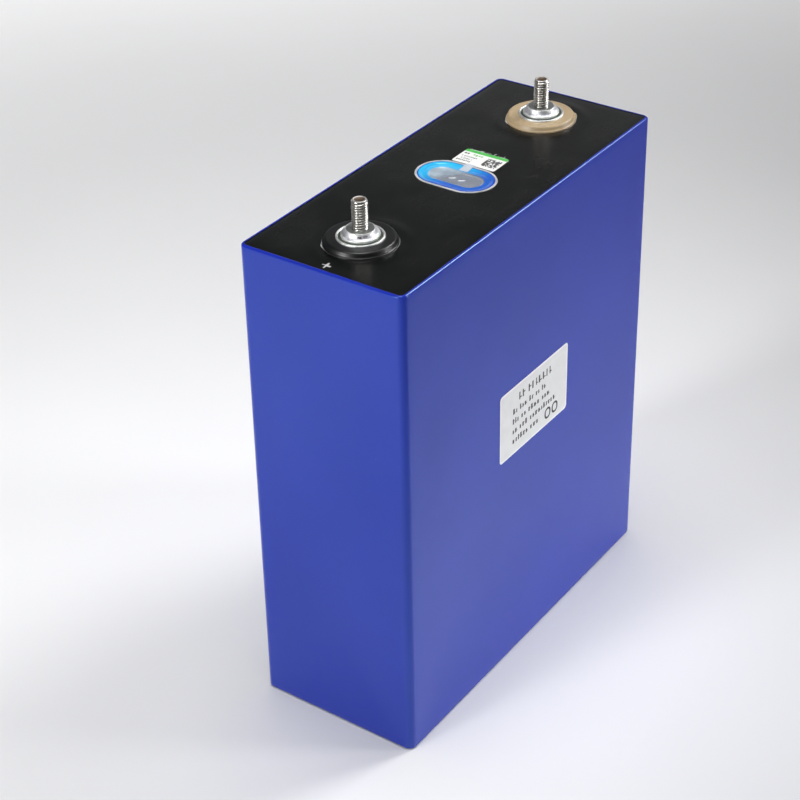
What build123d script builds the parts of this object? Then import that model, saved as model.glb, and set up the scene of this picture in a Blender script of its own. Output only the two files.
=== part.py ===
from build123d import *
from math import acos, degrees
import os

# Prismatic lithium iron phosphate cell with welded M6 studs, in millimetres.
# Origin: centre of the bottom. X runs from the positive to the negative terminal, Y through the
# thickness, Z up. The wide face with the rating label looks towards -Y.

os.makedirs("parts", exist_ok=True)

# ---------------------------------------------------------------- driving dimensions

# body
cell_width = 173.7
cell_depth = 71.7
cell_height = 204.8  # to the top of the folded wrap film, without the terminals
corner_radius = 3.0
edge_radius = 0.9
film = 0.15  # every insulating film
film_lip = 1.2  # how far the wrap folds over the top edge
film_flap = 9.0  # and under the bottom edge
wall = 0.8
can_floor = 1.5
lid_thickness = 2.5

# terminals
terminal_spacing = 123.0
ring_radius = 13.9
ring_shoulder_radius = 13.1
ring_top = 207.1
ring_edge = 0.75  # height and width of the rounded shoulder
ring_step = 0.15  # the ring stands this far inside its base flange
ear_reach = 1.2
ear_angle = -45
ear_tip = 0.5
ear_height = 1.2
ring_gap = 0.25  # gap in the lid film round the ring
seal_thickness = 1.4
pole_radius = 5.0
pole_disc_radius = 9.0
pole_disc_top = 207.7
pole_disc_thickness = 2.2
pole_rim = 0.35
pole_recess_radius = 8.1
pole_recess = 0.35
rivet_flare = 0.7
rivet_height = 0.6

# M6 stud and its welded base
base_flange_radius = 7.2
base_flange_thickness = 1.1
base_step = 0.4
waist_radius = 6.0
waist_rise = 0.35
boss_radius = 5.4
boss_top = 210.4
boss_edge = 0.5
stud_radius = 3.0
stud_pitch = 1.0
stud_turns = 11
stud_depth = 0.6134 * stud_pitch  # thread depth of an ISO metric thread
stud_top = 221.8
stud_rim_radius = 2.2
stud_dish_radius = 1.3
stud_dish_depth = 0.4

# vent
vent_length = 33.6
vent_width = 21.0
vent_rim = 0.9
vent_rim_height = 0.35
vent_seat_depth = 0.5
vent_ledge = 1.2
vent_ledge_depth = 1.2
vent_window_length = 22.0
vent_window_width = 11.0
vent_disc_thickness = 0.4
vent_film_thickness = 0.12
score_depth = 0.2
score_radius = 4.2
score_width = 0.5
score_open = 3.4  # each scored arc stops this far short of its far side
pull_tab_width = 3.8
pull_tab_length = 3.2
pull_tab_thickness = 0.1

# filling hole, under the lid film
fill_x = -28.0
fill_radius = 2.0
fill_cap_radius = 4.5
fill_cap_thickness = 0.8
fill_cap_groove = 0.6
fill_plug_end = 0.8  # how far the plug reaches below the lid

# plus sign cut in the lid film
plus_x = -82.0
plus_size = 4.0
plus_bar = 0.9

# labels
label_thickness = 0.08
rating_width = 50.0
rating_height = 31.0
rating_x = 0.8
rating_z = 115.0
rating_corner = 1.6
trace_width = 11.5
trace_length = 19.2
trace_x = 17.4
trace_y = -0.4
trace_corner = 0.8

# plastic and current collectors under the lid
insulator_thickness = 2.2
insulator_gap = 0.6
insulator_skirt = 1.2
insulator_inner_x = 17.6
guard_half_width = 17.5
guard_slot_length = 24.0
guard_slot_width = 2.2
guard_slot_pitch = 4.0
core_height = 1.0  # the negative pole's copper reaches this far into the insulator
passage_radius = 1.5
passage_spacing = 44.0
collector_thickness = 1.6
collector_outer_x = 78.0
collector_wing_x = 46.0
collector_inner_x = 22.0
collector_wing_depth = 58.0
collector_pad_depth = 30.0
neck_x = 44.5
neck_overlap = 3.0
neck_hole_radius = 3.0
neck_hole_spacing = 11.0

# foil tabs
tab_thickness = 1.0
tab_width = 20.0
tab_x = 34.0
tab_riser_y = 25.0
tab_end_y = 7.0
tab_bend = 3.0
tape_thickness = 0.15
tape_margin = 0.5

# wound rolls
roll_top = 187.5
roll_radius = 16.6  # half of a roll's thickness
roll_half_straight = 66.8
roll_turns = 4
roll_core = 0.5
roll_offset = 17.1
layer_gap = 0.02
layers = {"anode": 1.15, "separator_inner": 0.35, "cathode": 1.3, "separator_outer": 0.35}
electrode_margin = {"anode": 1.5, "cathode": 2.5, "separator_inner": 0.0, "separator_outer": 0.0}
band_thickness = 0.06
band_height = 18.0
band_levels = [35.0, 95.0, 155.0]

# sleeve and bottom support
sleeve_thickness = 0.25
sleeve_gap = 0.25
sleeve_corner = 1.8
sleeve_clearance = 4.0
support_thickness = 1.2
support_gap = 0.2
support_hole_radius = 4.0
stack_gap = 0.1

# ---------------------------------------------------------------- levels and derived sizes

can_bottom = 2 * film  # above the folded wrap and the bottom film
can_width = cell_width - 2 * film
can_depth = cell_depth - 2 * film
can_corner = corner_radius - film
can_edge = edge_radius - film
inner_width = can_width - 2 * wall
inner_depth = can_depth - 2 * wall
lid_top = cell_height - 2 * film
lid_bottom = lid_top - lid_thickness
lid_film_top = lid_top + film

terminals = {"positive": -terminal_spacing / 2, "negative": terminal_spacing / 2}
seal_radius = pole_radius + seal_thickness
pole_disc_bottom = pole_disc_top - pole_disc_thickness
base_bottom = pole_disc_top - pole_recess

insulator_bottom = lid_bottom - insulator_thickness
collector_bottom = insulator_bottom - collector_thickness

sleeve_bottom = can_bottom + can_floor + stack_gap
support_bottom = sleeve_bottom + sleeve_thickness
roll_bottom = support_bottom + support_thickness + stack_gap
rolls = {"a": -roll_offset, "b": roll_offset}
roll_pitch = (roll_radius - roll_core) / (roll_turns + 1)


def save(part, name):
    part.label = name
    export_step(part, f"parts/{name}.step")


def span(low, high):
    """Centre and size of a stretch along X."""
    return (low + high) / 2, high - low


# ---------------------------------------------------------------- outer films

with BuildPart() as film_core:
    with BuildSketch(Plane.XY.offset(film)):
        RectangleRounded(can_width, can_depth, can_corner)
    extrude(amount=cell_height - 2 * film)
    rims = film_core.edges().group_by(Axis.Z)
    fillet(rims[0] + rims[-1], can_edge)

with BuildPart() as wrap_film:
    with BuildSketch():
        RectangleRounded(cell_width, cell_depth, corner_radius)
    extrude(amount=cell_height)
    rims = wrap_film.edges().group_by(Axis.Z)
    fillet(rims[0] + rims[-1], edge_radius)
    add(film_core.part, mode=Mode.SUBTRACT)
    with BuildSketch(Plane.XY.offset(cell_height - film)):
        RectangleRounded(cell_width - 2 * film_lip, cell_depth - 2 * film_lip, corner_radius - film_lip)
    extrude(amount=film, mode=Mode.SUBTRACT)
    with BuildSketch():
        RectangleRounded(cell_width - 2 * film_flap, cell_depth - 2 * film_flap, 1.0)
    extrude(amount=film, mode=Mode.SUBTRACT)

with BuildPart() as bottom_film:
    with BuildSketch(Plane.XY.offset(film)):
        RectangleRounded(can_width - 2 * can_edge, can_depth - 2 * can_edge, can_corner - can_edge)
    extrude(amount=film)

# outline of a terminal ring: a circle with two pointed ears whose sides are tangent to it
with BuildSketch() as ring_outline:
    tip = ring_radius + ear_reach
    tangent_angle = degrees(acos(ring_radius / tip))
    Circle(ring_radius)
    for turn in (0, 180):
        angle = ear_angle + turn
        shoulder_a = Vector(ring_radius, 0).rotate(Axis.Z, angle - tangent_angle)
        shoulder_b = Vector(ring_radius, 0).rotate(Axis.Z, angle + tangent_angle)
        point = Vector(tip, 0).rotate(Axis.Z, angle)
        Polygon(shoulder_a, point, shoulder_b, align=None)
    tips = ring_outline.vertices().filter_by(lambda v: Vector(v.X, v.Y).length > tip - 0.01)
    fillet(tips, ear_tip)

with BuildSketch() as ring_cutout:
    add(ring_outline.sketch)
    offset(amount=ring_gap)

# the lid film is cut out round each ring and round the vent, and with a plus sign
with BuildPart() as lid_film:
    with BuildSketch(Plane.XY.offset(lid_top)):
        RectangleRounded(can_width - 2 * can_edge, can_depth - 2 * can_edge, can_corner - can_edge)
        for x in terminals.values():
            add(ring_cutout.sketch.moved(Location((x, 0, 0))), mode=Mode.SUBTRACT)
        SlotOverall(vent_length, vent_width, rotation=90, mode=Mode.SUBTRACT)
        with Locations((plus_x, 0)):
            Rectangle(plus_size, plus_bar, mode=Mode.SUBTRACT)
            Rectangle(plus_bar, plus_size, mode=Mode.SUBTRACT)
    extrude(amount=film)

save(wrap_film.part, "wrap_film")
save(bottom_film.part, "bottom_film")
save(lid_film.part, "lid_film")

# ---------------------------------------------------------------- can and lid

with BuildPart() as can:
    with BuildSketch(Plane.XY.offset(can_bottom)):
        RectangleRounded(can_width, can_depth, can_corner)
    extrude(amount=lid_top - can_bottom)
    rims = can.edges().group_by(Axis.Z)
    fillet(rims[0] + rims[-1], can_edge)
    with BuildSketch(Plane.XY.offset(can_bottom + can_floor)):
        RectangleRounded(inner_width, inner_depth, can_corner - wall)
    extrude(amount=lid_top - can_bottom - can_floor, mode=Mode.SUBTRACT)

vent_film_length = vent_length - 2 * vent_rim
vent_film_width = vent_width - 2 * vent_rim
vent_pocket_length = vent_window_length + 2 * vent_ledge
vent_pocket_width = vent_window_width + 2 * vent_ledge
rim_inset = 0.2

with BuildPart() as lid_plate:
    with BuildSketch(Plane.XY.offset(lid_bottom)):
        RectangleRounded(inner_width, inner_depth, can_corner - wall)
    extrude(amount=lid_thickness)
    # raised rim round the vent
    with BuildSketch(Plane.XY.offset(lid_top)):
        SlotOverall(vent_length - rim_inset, vent_width - rim_inset, rotation=90)
    extrude(amount=vent_rim_height)
    # seat of the blue film
    with BuildSketch(Plane.XY.offset(lid_top + vent_rim_height)):
        SlotOverall(vent_film_length, vent_film_width, rotation=90)
    extrude(amount=-(vent_rim_height + vent_seat_depth), mode=Mode.SUBTRACT)
    # window, with a wider pocket from below in which the vent disc is welded
    with BuildSketch(Plane.XY.offset(lid_bottom)):
        SlotOverall(vent_window_length, vent_window_width, rotation=90)
    extrude(amount=lid_thickness, mode=Mode.SUBTRACT)
    with BuildSketch(Plane.XY.offset(lid_bottom)):
        SlotOverall(vent_pocket_length, vent_pocket_width, rotation=90)
    extrude(amount=vent_ledge_depth, mode=Mode.SUBTRACT)
    # terminal holes
    with Locations((-terminal_spacing / 2, 0, lid_top), (terminal_spacing / 2, 0, lid_top)):
        Hole(seal_radius, depth=lid_thickness)
    # electrolyte filling hole, counterbored for its cap
    with Locations((fill_x, 0, lid_top)):
        CounterBoreHole(fill_radius, fill_cap_radius, fill_cap_thickness, depth=lid_thickness)

fill_plug_top = lid_top - fill_cap_thickness

with BuildPart() as fill_plug:
    with BuildSketch(Plane.XZ):
        with BuildLine():
            Polyline(
                (0, lid_bottom - fill_plug_end),
                (fill_radius * 0.6, lid_bottom - fill_plug_end),
                (fill_radius, lid_bottom + fill_radius * 0.1),
                (fill_radius, fill_plug_top),
                (0, fill_plug_top),
                close=True,
            )
        make_face()
    revolve(axis=Axis.Z)

with BuildPart() as fill_cap:
    with BuildSketch(Plane.XY.offset(fill_plug_top)):
        Circle(fill_cap_radius)
    extrude(amount=fill_cap_thickness)
    # groove inside the weld seam
    with BuildSketch(Plane.XY.offset(lid_top)):
        Circle(fill_cap_radius - fill_cap_groove)
        Circle(fill_cap_radius - 2 * fill_cap_groove, mode=Mode.SUBTRACT)
    extrude(amount=-fill_cap_groove / 3, mode=Mode.SUBTRACT)

save(can.part, "can")
save(lid_plate.part, "lid_plate")
save(fill_plug.part.moved(Location((fill_x, 0, 0))), "fill_plug")
save(fill_cap.part.moved(Location((fill_x, 0, 0))), "fill_cap")

# ---------------------------------------------------------------- vent

vent_disc_top = lid_bottom + vent_ledge_depth
vent_film_bottom = lid_top - vent_seat_depth
score_centre = score_radius - score_width / 2

with BuildPart() as vent_disc:
    with BuildSketch(Plane.XY.offset(vent_disc_top - vent_disc_thickness)):
        SlotOverall(vent_pocket_length, vent_pocket_width, rotation=90)
    extrude(amount=vent_disc_thickness)
    # two scored arcs back to back: the metal tears along them when the cell vents
    with BuildSketch(Plane.XY.offset(vent_disc_top)):
        for side in (-1, 1):
            with BuildSketch(mode=Mode.PRIVATE) as arc:
                with Locations((0, side * score_centre)):
                    Circle(score_radius)
                    Circle(score_radius - score_width, mode=Mode.SUBTRACT)
                with Locations((0, side * 2 * score_radius)):
                    Rectangle(3 * score_radius, 2 * score_open, mode=Mode.SUBTRACT)
            add(arc.sketch)
    extrude(amount=-score_depth, mode=Mode.SUBTRACT)

with BuildPart() as vent_film:
    with BuildSketch(Plane.XY.offset(vent_film_bottom)):
        SlotOverall(vent_film_length, vent_film_width, rotation=90)
    extrude(amount=vent_film_thickness)

with BuildPart() as vent_film_tab:
    with BuildSketch(Plane.XY.offset(vent_film_bottom + vent_film_thickness)):
        with Locations(((vent_film_width - pull_tab_length) / 2 - pull_tab_thickness, 0.4)):
            RectangleRounded(pull_tab_length, pull_tab_width, 0.5)
    extrude(amount=pull_tab_thickness)

save(vent_disc.part, "vent_disc")
save(vent_film.part, "vent_film")
save(vent_film_tab.part, "vent_film_tab")

# ---------------------------------------------------------------- labels

with BuildPart() as rating_label:
    with BuildSketch(Plane.XZ.offset(cell_depth / 2)):
        with Locations((rating_x, rating_z)):
            RectangleRounded(rating_width, rating_height, rating_corner)
    extrude(amount=label_thickness)

with BuildPart() as trace_label:
    with BuildSketch(Plane.XY.offset(lid_film_top)):
        with Locations((trace_x, trace_y)):
            RectangleRounded(trace_width, trace_length, trace_corner)
    extrude(amount=label_thickness)

save(rating_label.part, "rating_label")
save(trace_label.part, "trace_label")

# ---------------------------------------------------------------- terminals

# plastic ring with a rounded shoulder, on a low flange with two ears that stop it turning
shoulder_start = (ring_shoulder_radius + ring_edge / 3, ring_top - ring_edge)
shoulder_middle = (ring_shoulder_radius, ring_top - ring_edge / 4)
shoulder_end = (ring_shoulder_radius - ring_edge, ring_top)

with BuildPart() as insulator:
    with BuildSketch(Plane.XZ):
        with BuildLine():
            Polyline(
                (pole_radius, lid_top),
                (ring_radius - ring_step, lid_top),
                (ring_radius - ring_step, lid_top + ear_height),
                shoulder_start,
            )
            ThreePointArc(shoulder_start, shoulder_middle, shoulder_end)
            Polyline(
                shoulder_end,
                (pole_disc_radius, ring_top),
                (pole_disc_radius, pole_disc_bottom),
                (pole_radius, pole_disc_bottom),
                (pole_radius, lid_top),
            )
        make_face()
    revolve(axis=Axis.Z)
    with BuildSketch(Plane.XY.offset(lid_top)):
        add(ring_outline.sketch)
        Circle(pole_disc_radius, mode=Mode.SUBTRACT)
    extrude(amount=ear_height)

with BuildPart() as seal:
    with BuildSketch(Plane.XY.offset(lid_bottom)):
        Circle(seal_radius)
        Circle(pole_radius, mode=Mode.SUBTRACT)
    extrude(amount=lid_thickness)

# pole: recessed terminal disc above the lid, shank through it, end riveted under the collector
with BuildPart() as pole:
    with BuildSketch(Plane.XY.offset(pole_disc_bottom)):
        Circle(pole_disc_radius)
    extrude(amount=pole_disc_thickness)
    fillet(pole.edges().sort_by(Axis.Z)[-1], pole_rim)
    with BuildSketch(Plane.XY.offset(pole_disc_top)):
        Circle(pole_recess_radius)
    extrude(amount=-pole_recess, mode=Mode.SUBTRACT)
    with BuildSketch(Plane.XY.offset(collector_bottom)):
        Circle(pole_radius)
    extrude(amount=pole_disc_bottom - collector_bottom)
    with BuildSketch(Plane.XY.offset(collector_bottom - rivet_height)):
        Circle(pole_radius + rivet_flare)
    extrude(amount=rivet_height)
    chamfer(pole.edges().sort_by(Axis.Z)[0], rivet_height / 2)

# the negative pole is aluminium above and copper below, joined face to face by friction welding
with BuildPart() as pole_cap:
    add(pole.part)
    split(bisect_by=Plane.XY.offset(insulator_bottom + core_height), keep=Keep.TOP)

with BuildPart() as pole_core:
    add(pole.part)
    split(bisect_by=Plane.XY.offset(insulator_bottom + core_height), keep=Keep.BOTTOM)

# aluminium base of the stud: a thin flange, a curved waist and a flat boss, drilled for the stud
stud_root = stud_radius - stud_depth
flange_top = base_bottom + base_flange_thickness
waist_start = (base_flange_radius - base_step, flange_top)
waist_end = (boss_radius + boss_edge / 4, boss_top - boss_edge)

with BuildPart() as stud_base:
    with BuildSketch(Plane.XZ):
        with BuildLine():
            Polyline(
                (stud_root, base_bottom),
                (base_flange_radius, base_bottom),
                (base_flange_radius, flange_top),
                waist_start,
            )
            ThreePointArc(waist_start, (waist_radius, flange_top + waist_rise), waist_end)
            Polyline(
                waist_end,
                (boss_radius, boss_top),
                (stud_radius + boss_edge / 2, boss_top),
                (stud_root, boss_top - stud_depth),
                (stud_root, base_bottom),
            )
        make_face()
    revolve(axis=Axis.Z)

# threaded stud: one revolved profile with a groove for every pitch, and a chamfered, dished end
thread_bottom = boss_top - 0.2
thread_top = thread_bottom + stud_turns * stud_pitch
crest_width = stud_pitch / 8
root_width = stud_pitch / 4
flank_width = (stud_pitch - crest_width - root_width) / 2

stud_outline = [(0, base_bottom), (stud_root, base_bottom), (stud_root, thread_bottom)]
for turn in range(stud_turns):
    crest_start = thread_bottom + turn * stud_pitch + flank_width
    crest_end = crest_start + crest_width
    stud_outline.append((stud_radius, crest_start))
    stud_outline.append((stud_radius, crest_end))
    stud_outline.append((stud_root, crest_end + flank_width))
    stud_outline.append((stud_root, crest_end + flank_width + root_width))
stud_outline.append((stud_radius - crest_width, thread_top + root_width))
stud_outline.append((stud_rim_radius, stud_top))
stud_outline.append((stud_dish_radius + stud_dish_depth, stud_top))
stud_outline.append((stud_dish_radius, stud_top - stud_dish_depth))
stud_outline.append((0, stud_top - stud_dish_depth))

with BuildPart() as stud:
    with BuildSketch(Plane.XZ):
        with BuildLine():
            Polyline(stud_outline, close=True)
        make_face()
    revolve(axis=Axis.Z)

shared_pieces = {"insulator": insulator, "seal": seal, "stud_base": stud_base, "stud": stud}
for polarity, x in terminals.items():
    for name, piece in shared_pieces.items():
        save(piece.part.moved(Location((x, 0, 0))), f"{polarity}_{name}")

at_positive = Location((terminals["positive"], 0, 0))
at_negative = Location((terminals["negative"], 0, 0))
save(pole.part.moved(at_positive), "positive_pole")
save(pole_cap.part.moved(at_negative), "negative_pole")
save(pole_core.part.moved(at_negative), "negative_pole_core")

# ---------------------------------------------------------------- plastic and collectors under the lid

insulator_outer_x = inner_width / 2 - insulator_gap
insulator_depth = inner_depth - 2 * insulator_gap

with BuildPart() as lower_insulator:
    middle, width = span(-insulator_outer_x, -insulator_inner_x)
    with BuildSketch(Plane.XY.offset(insulator_bottom - insulator_skirt)):
        with Locations((middle, 0)):
            RectangleRounded(width, insulator_depth, 2.0)
    extrude(amount=insulator_thickness + insulator_skirt)
    # a skirt of the wall's own thickness goes down round the collector
    with BuildSketch(Plane.XY.offset(insulator_bottom - insulator_skirt)):
        with Locations((middle, 0)):
            RectangleRounded(width - 2 * insulator_skirt, insulator_depth - 2 * insulator_skirt, 1.0)
    extrude(amount=insulator_skirt, mode=Mode.SUBTRACT)
    with Locations((-terminal_spacing / 2, 0, lid_bottom)):
        Hole(pole_radius, depth=insulator_thickness)
    # clearance for the end of the filling plug, and electrolyte passages
    with Locations((fill_x, 0, lid_bottom)):
        Hole(fill_radius + fill_plug_end, depth=insulator_thickness)
        with GridLocations(0, passage_spacing, 1, 2):
            Hole(passage_radius, depth=insulator_thickness)

with BuildPart() as vent_guard:
    with BuildSketch(Plane.XY.offset(insulator_bottom)):
        RectangleRounded(2 * guard_half_width, insulator_depth, 2.0)
        with GridLocations(guard_slot_pitch, 0, 5, 1):
            SlotOverall(guard_slot_length, guard_slot_width, rotation=90, mode=Mode.SUBTRACT)
    extrude(amount=insulator_thickness)

with BuildPart() as collector:
    with BuildSketch(Plane.XY.offset(collector_bottom)):
        middle, width = span(-collector_outer_x, -collector_wing_x)
        with Locations((middle, 0)):
            RectangleRounded(width, collector_pad_depth, 3.0)
        middle, width = span(-collector_wing_x - neck_overlap, -collector_inner_x)
        with Locations((middle, 0)):
            RectangleRounded(width, collector_wing_depth, 2.0)
        with Locations((-terminal_spacing / 2, 0)):
            Circle(pole_radius, mode=Mode.SUBTRACT)
        # fuse neck: two round holes leave narrow bridges
        with Locations((-neck_x, 0)):
            with GridLocations(0, neck_hole_spacing, 1, 2):
                Circle(neck_hole_radius, mode=Mode.SUBTRACT)
        with Locations((fill_x, 0)):
            Circle(fill_radius + fill_plug_end, mode=Mode.SUBTRACT)
    extrude(amount=collector_thickness)

save(vent_guard.part, "vent_guard")
save(lower_insulator.part, "positive_lower_insulator")
save(lower_insulator.part.rotate(Axis.Z, 180), "negative_lower_insulator")
save(collector.part, "positive_collector")
save(collector.part.rotate(Axis.Z, 180), "negative_collector")

# ---------------------------------------------------------------- foil tabs and their tape

tab_top = collector_bottom
tab_underside = tab_top - tab_thickness
riser_outside = -tab_riser_y - tab_thickness / 2
riser_inside = -tab_riser_y + tab_thickness / 2

# a tab rises from its roll, bends over and lies flat under the collector
with BuildPart() as tab:
    with BuildSketch(Plane.YZ.offset(tab_x - tab_width / 2)):
        with BuildLine():
            outside = FilletPolyline(
                (riser_outside, roll_top),
                (riser_outside, tab_top),
                (-tab_end_y, tab_top),
                radius=tab_bend + tab_thickness,
            )
            inside = FilletPolyline(
                (riser_inside, roll_top),
                (riser_inside, tab_underside),
                (-tab_end_y, tab_underside),
                radius=tab_bend,
            )
            Line(outside @ 0, inside @ 0)
            Line(outside @ 1, inside @ 1)
        make_face()
    extrude(amount=tab_width)

# tape under the flat end of each tab
flat_length = tab_riser_y - tab_end_y - tab_bend - tab_thickness

with BuildPart() as tab_tape:
    with BuildSketch(Plane.XY.offset(tab_underside - tape_thickness)):
        with Locations((tab_x, 0)):
            with GridLocations(0, 2 * tab_end_y + flat_length, 1, 2):
                Rectangle(tab_width - 2 * tape_margin, flat_length - 2 * tape_margin)
    extrude(amount=tape_thickness)

save(mirror(tab.part, about=Plane.YZ), "roll_a_positive_tab")
save(tab.part, "roll_a_negative_tab")
save(tab.part.rotate(Axis.Z, 180), "roll_b_positive_tab")
save(mirror(tab.part, about=Plane.XZ), "roll_b_negative_tab")
save(mirror(tab_tape.part, about=Plane.YZ), "positive_tab_tape")
save(tab_tape.part, "negative_tab_tape")

# ---------------------------------------------------------------- wound rolls


def spiral_edges(radius):
    """Edges of a flat spiral: half circles round two centres, joined by straight runs."""
    right = Plane((roll_half_straight, 0, 0))
    left = Plane((-roll_half_straight, -roll_pitch / 2, 0))
    edges = []
    for turn in range(roll_turns + 1):
        r = radius + turn * roll_pitch
        edges.append(Edge.make_circle(r, right, start_angle=-90, end_angle=90))
        edges.append(Edge.make_line((roll_half_straight, r), (-roll_half_straight, r)))
        if turn < roll_turns:
            low = -r - roll_pitch
            edges.append(Edge.make_circle(r + roll_pitch / 2, left, start_angle=90, end_angle=270))
            edges.append(Edge.make_line((-roll_half_straight, low), (roll_half_straight, low)))
    return edges


def wound_layer(inner_radius, thickness, y, low, high):
    """One electrode or separator: the strip between two parallel spirals, extruded up."""
    outer_radius = inner_radius + thickness
    rise = roll_turns * roll_pitch
    with BuildPart(mode=Mode.PRIVATE) as strip:
        with BuildSketch(Plane.XY.offset(low)):
            with BuildLine():
                add(spiral_edges(inner_radius))
                add(spiral_edges(outer_radius))
                Line((roll_half_straight, -inner_radius), (roll_half_straight, -outer_radius))
                Line((-roll_half_straight, inner_radius + rise), (-roll_half_straight, outer_radius + rise))
            make_face()
        extrude(amount=high - low)
    return strip.part.moved(Location((0, y, 0)))


for roll, y in rolls.items():
    radius = roll_core
    separators = []
    for layer, thickness in layers.items():
        margin = electrode_margin[layer]
        strip = wound_layer(radius, thickness - layer_gap, y, roll_bottom + margin, roll_top - margin)
        radius += thickness
        if layer.startswith("separator"):
            separators.append(strip)
        else:
            save(strip, f"roll_{roll}_{layer}")
    save(Compound(children=separators), f"roll_{roll}_separators")

# tape bands that hold each roll closed
straight = 2 * roll_half_straight
band_radius = roll_radius + band_thickness

for roll, y in rolls.items():
    with BuildPart() as tape:
        for level in band_levels:
            with BuildSketch(Plane.XY.offset(level - band_height / 2)):
                with Locations((0, y)):
                    SlotOverall(straight + 2 * band_radius, 2 * band_radius)
                    SlotOverall(straight + 2 * roll_radius, 2 * roll_radius, mode=Mode.SUBTRACT)
            extrude(amount=band_height)
    save(tape.part, f"roll_{roll}_tape")

# ---------------------------------------------------------------- sleeve and bottom support

sleeve_width = inner_width - 2 * sleeve_gap
sleeve_depth = inner_depth - 2 * sleeve_gap
sleeve_top = insulator_bottom - insulator_skirt - sleeve_clearance
bag_width = sleeve_width - 2 * sleeve_thickness
bag_depth = sleeve_depth - 2 * sleeve_thickness
bag_corner = sleeve_corner - sleeve_thickness

with BuildPart() as insulation_sleeve:
    with BuildSketch(Plane.XY.offset(sleeve_bottom)):
        RectangleRounded(sleeve_width, sleeve_depth, sleeve_corner)
    extrude(amount=sleeve_top - sleeve_bottom)
    with BuildSketch(Plane.XY.offset(support_bottom)):
        RectangleRounded(bag_width, bag_depth, bag_corner)
    extrude(amount=sleeve_top - support_bottom, mode=Mode.SUBTRACT)

with BuildPart() as bottom_support:
    with BuildSketch(Plane.XY.offset(support_bottom)):
        RectangleRounded(bag_width - 2 * support_gap, bag_depth - 2 * support_gap, bag_corner)
        with GridLocations(bag_width / 6, bag_depth / 2, 5, 2):
            Circle(support_hole_radius, mode=Mode.SUBTRACT)
    extrude(amount=support_thickness)

save(insulation_sleeve.part, "insulation_sleeve")
save(bottom_support.part, "bottom_support")
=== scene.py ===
"""Looks of a prismatic lithium iron phosphate cell with welded M6 studs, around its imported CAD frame."""

import math
import random

import bmesh
import bpy
from mathutils import Matrix, Vector, noise
from mathutils.geometry import delaunay_2d_cdt


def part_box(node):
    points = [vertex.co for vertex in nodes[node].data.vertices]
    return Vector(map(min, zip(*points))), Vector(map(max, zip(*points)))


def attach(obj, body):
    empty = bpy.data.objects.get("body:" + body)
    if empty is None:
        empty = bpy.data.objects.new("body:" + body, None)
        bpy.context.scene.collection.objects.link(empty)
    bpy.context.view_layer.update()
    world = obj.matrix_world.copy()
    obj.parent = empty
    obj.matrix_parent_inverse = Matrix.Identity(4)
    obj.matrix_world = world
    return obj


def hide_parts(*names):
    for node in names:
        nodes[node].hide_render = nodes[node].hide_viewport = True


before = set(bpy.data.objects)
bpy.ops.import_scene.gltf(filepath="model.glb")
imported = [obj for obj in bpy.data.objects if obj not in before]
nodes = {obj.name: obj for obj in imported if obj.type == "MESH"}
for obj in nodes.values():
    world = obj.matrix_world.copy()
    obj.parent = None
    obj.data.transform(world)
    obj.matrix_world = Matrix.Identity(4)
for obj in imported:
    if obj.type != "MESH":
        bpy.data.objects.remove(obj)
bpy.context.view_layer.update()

scene = bpy.context.scene

MM = 0.001
TAU = 2 * math.pi


def levels(node):
    """Lowest and highest corners of a CAD node, in millimetres."""
    low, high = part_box(node)
    return low / MM, high / MM


# -------- node materials


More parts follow.
